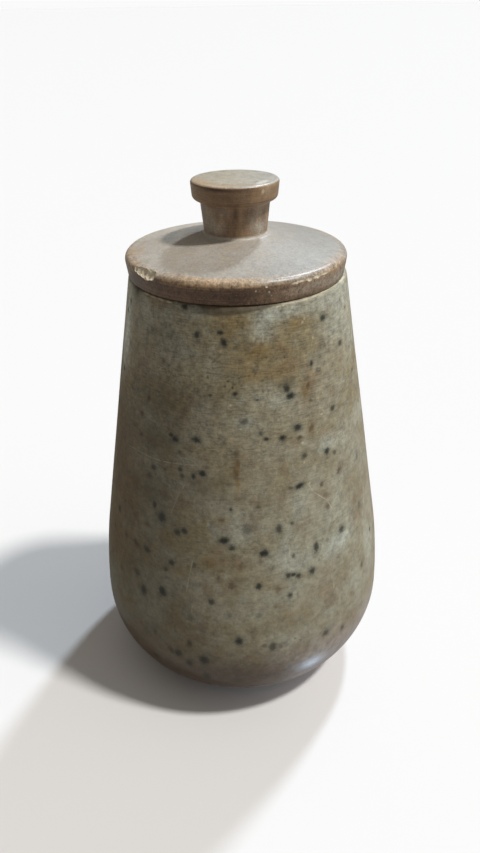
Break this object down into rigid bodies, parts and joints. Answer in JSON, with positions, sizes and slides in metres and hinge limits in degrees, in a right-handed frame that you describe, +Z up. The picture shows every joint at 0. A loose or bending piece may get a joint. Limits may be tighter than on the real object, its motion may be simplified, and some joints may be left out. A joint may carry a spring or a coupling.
{
  "type": "stone pot",
  "caption": "Tall lidded stone jar: tapering flanks on a rounded belly and flat foot, hollowed from the mouth, with a low-domed lift-off lid and a capped knob.",
  "frame": {"origin": "centre of the flat foot, on the surface that the pot stands on", "axes": "+Z up along the axis that pot and lid are turned round; -Y is the side that the picture shows"},
  "size_m": [0.1096, 0.1096, 0.1885],
  "materials": {
    "mottled_stone": "rubbed smooth, low sheen, olive grey with dark flecks",
    "brown_stone": "polished, brown to warm grey"
  },
  "bodies": {
    "pot": {"pot_body": "mottled_stone"},
    "lid": {"lid": "brown_stone"}
  },
  "joints": [
    {"name": "lid_lift", "type": "slide", "parent": "pot", "child": "lid", "axis": [0, 0, 1], "range_m": [0, 0.11]}
  ]
}
